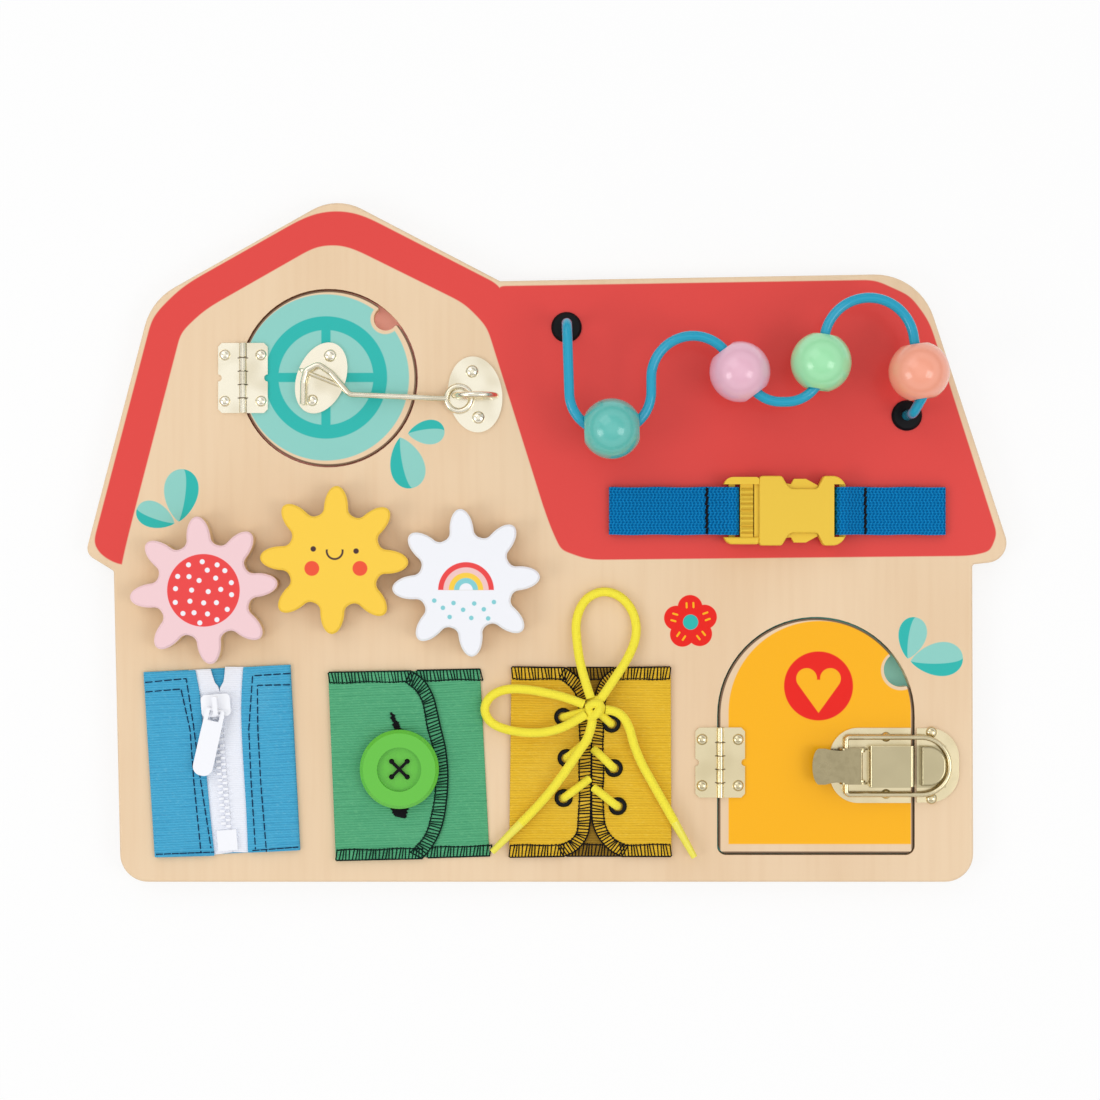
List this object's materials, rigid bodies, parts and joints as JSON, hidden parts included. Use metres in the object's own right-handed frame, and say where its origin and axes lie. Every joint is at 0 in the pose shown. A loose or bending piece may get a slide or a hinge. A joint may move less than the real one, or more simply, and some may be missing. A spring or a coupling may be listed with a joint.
{
  "type": "wooden activity house",
  "caption": "House-shaped wooden activity board with a hooked window, latched door, meshing gears, bead wire, buckle, zip, button and lacing panels.",
  "frame": {"origin": "middle of the board's underside, at the bottom centre of its box", "axes": "+X along the board's width, +Y towards the roof, +Z out of the board's face"},
  "size_m": [0.3862, 0.2852, 0.0492],
  "materials": {
    "wood_face": "clear-coated birch plywood",
    "wood_back": "plain birch plywood",
    "window_teal": "painted plywood",
    "door_yellow": "painted plywood",
    "gear_sun": "printed plywood",
    "gear_pink": "printed plywood",
    "gear_white": "printed plywood",
    "peg_wood": "turned beech",
    "pale_brass": "pale brass plating",
    "steel_screw": "zinc-plated",
    "maze_blue": "blue plastic coating",
    "bead_teal": "lacquered ball",
    "bead_pink": "lacquered ball",
    "bead_green": "lacquered ball",
    "bead_peach": "lacquered ball",
    "webbing_blue": "woven webbing",
    "buckle_yellow": "moulded plastic",
    "cloth_blue": "ribbed cloth",
    "cloth_white": "woven tape",
    "cloth_green": "ribbed cloth",
    "cloth_mustard": "ribbed cloth",
    "zip_white": "moulded plastic",
    "rubber_black": "black grommet",
    "button_green": "moulded button",
    "thread_black": "sewing thread",
    "eyelet_black": "black eyelet",
    "lace_yellow": "round braided lace",
    "aglet_yellow": "lace tip"
  },
  "bodies": {
    "board": {"front_panel": "wood_face", "back_panel": "wood_back", "back_screws": "steel_screw", "window_hinge_fixed_leaf": "pale_brass", "door_hinge_fixed_leaf": "pale_brass", "hinge_pins": "pale_brass", "board_screws": "pale_brass", "hook_eye": "pale_brass", "latch_catch": "pale_brass", "maze_grommets": "rubber_black", "maze_wire": "maze_blue", "left_strap": "webbing_blue", "right_strap": "webbing_blue", "strap_screws": "steel_screw", "buckle_socket": "buckle_yellow", "zip_patch": "cloth_blue", "zip_tapes": "cloth_white", "zip_chain": "zip_white", "zip_stops": "zip_white", "green_patch": "cloth_green", "green_flap": "cloth_green", "yellow_patch": "cloth_mustard", "yellow_flaps": "cloth_mustard", "eyelets": "eyelet_black", "lace_crossings": "lace_yellow", "lace_knot": "lace_yellow", "lace_top_loop": "lace_yellow", "lace_left_loop": "lace_yellow", "lace_left_tail": "lace_yellow", "lace_right_tail": "lace_yellow", "lace_aglets": "aglet_yellow", "gear_spacers": "peg_wood"},
    "window": {"window_disc": "window_teal", "window_hinge_leaf": "pale_brass", "window_screws": "pale_brass", "hook_keeper": "pale_brass"},
    "hook": {"hook": "pale_brass"},
    "door": {"door_panel": "door_yellow", "door_hinge_leaf": "pale_brass", "door_screws": "pale_brass", "latch_base": "pale_brass", "latch_pivot_pin": "pale_brass"},
    "latch_lever": {"latch_lever": "pale_brass"},
    "latch_bail": {"latch_bail": "pale_brass"},
    "sun_gear": {"sun_gear": "gear_sun", "sun_axle": "peg_wood"},
    "pink_gear": {"pink_gear": "gear_pink", "pink_axle": "peg_wood"},
    "white_gear": {"white_gear": "gear_white", "white_axle": "peg_wood"},
    "teal_bead": {"teal_bead": "bead_teal"},
    "pink_bead": {"pink_bead": "bead_pink"},
    "green_bead": {"green_bead": "bead_green"},
    "peach_bead": {"peach_bead": "bead_peach"},
    "buckle_clip": {"buckle_clip": "buckle_yellow"},
    "zip_slider": {"zip_slider": "zip_white"},
    "zip_pull": {"zip_pull": "zip_white"},
    "button": {"button": "button_green", "button_thread": "thread_black"}
  },
  "joints": [
    {"name": "window_hinge", "type": "hinge", "parent": "board", "child": "window", "pos_m": [-0.12685, 0.06943, 0.0135], "axis": [0, -1, 0], "range_deg": [0, 52]},
    {"name": "hook_lift", "type": "hinge", "parent": "board", "child": "hook", "pos_m": [-0.0294, 0.06193, 0.01455], "axis": [0, 1, 0], "range_deg": [0, 131]},
    {"name": "door_hinge", "type": "hinge", "parent": "board", "child": "door", "pos_m": [0.07335, -0.09188, 0.0135], "axis": [0, -1, 0], "range_deg": [0, 120]},
    {"name": "latch_lever_pivot", "type": "hinge", "parent": "door", "child": "latch_lever", "pos_m": [0.1318, -0.09308, 0.016], "axis": [0, 1, 0], "range_deg": [0, 105]},
    {"name": "latch_bail_pivot", "type": "hinge", "parent": "latch_lever", "child": "latch_bail", "pos_m": [0.1259, -0.09308, 0.016], "axis": [0, 1, 0], "range_deg": [-106, 0]},
    {"name": "sun_gear_spin", "type": "hinge", "parent": "board", "child": "sun_gear", "pos_m": [-0.08783, -0.00688, 0.012], "axis": [0, 0, 1], "continuous": true},
    {"name": "pink_gear_spin", "type": "hinge", "parent": "board", "child": "pink_gear", "pos_m": [-0.14208, -0.01951, 0.012], "axis": [0, 0, 1], "continuous": true},
    {"name": "white_gear_spin", "type": "hinge", "parent": "board", "child": "white_gear", "pos_m": [-0.03294, -0.01636, 0.012], "axis": [0, 0, 1], "continuous": true},
    {"name": "teal_bead_travel", "type": "hinge", "parent": "board", "child": "teal_bead", "pos_m": [0.02689, 0.06201, 0.037], "axis": [0, 0, 1], "range_deg": [-20, 10]},
    {"name": "pink_bead_slide", "type": "slide", "parent": "board", "child": "pink_bead", "axis": [0.5984, -0.8012, 0], "range_m": [-0.0025, 0.0025]},
    {"name": "green_bead_slide", "type": "slide", "parent": "board", "child": "green_bead", "axis": [0.1644, 0.9864, 0], "range_m": [-0.0008, 0.0015]},
    {"name": "peach_bead_slide", "type": "slide", "parent": "board", "child": "peach_bead", "axis": [0.1476, -0.989, 0], "range_m": [-0.004, 0]},
    {"name": "buckle_release", "type": "slide", "parent": "board", "child": "buckle_clip", "axis": [-1, 0, 0], "range_m": [0, 0.026], "deforming": ["left_strap"]},
    {"name": "zip_slide", "type": "slide", "parent": "board", "child": "zip_slider", "axis": [0.0819, -0.9966, 0], "range_m": [-0.006, 0.047], "deforming": ["zip_chain"]},
    {"name": "zip_pull_hinge", "type": "hinge", "parent": "zip_slider", "child": "zip_pull", "pos_m": [-0.13764, -0.06955, 0.01716], "axis": [-0.9759, 0.2181, 0], "range_deg": [0, 130]},
    {"name": "button_turn", "type": "hinge", "parent": "board", "child": "button", "pos_m": [-0.06094, -0.09427, 0.0143], "axis": [0, 0, 1], "range_deg": [-30, 30]}
  ],
  "couplings": [
    {"joint": "hook_lift", "follows": "window_hinge", "ratio": 2.5},
    {"joint": "latch_bail_pivot", "follows": "latch_lever_pivot", "ratio": -1},
    {"joint": "pink_gear_spin", "follows": "sun_gear_spin", "ratio": -1},
    {"joint": "white_gear_spin", "follows": "sun_gear_spin", "ratio": -1}
  ]
}
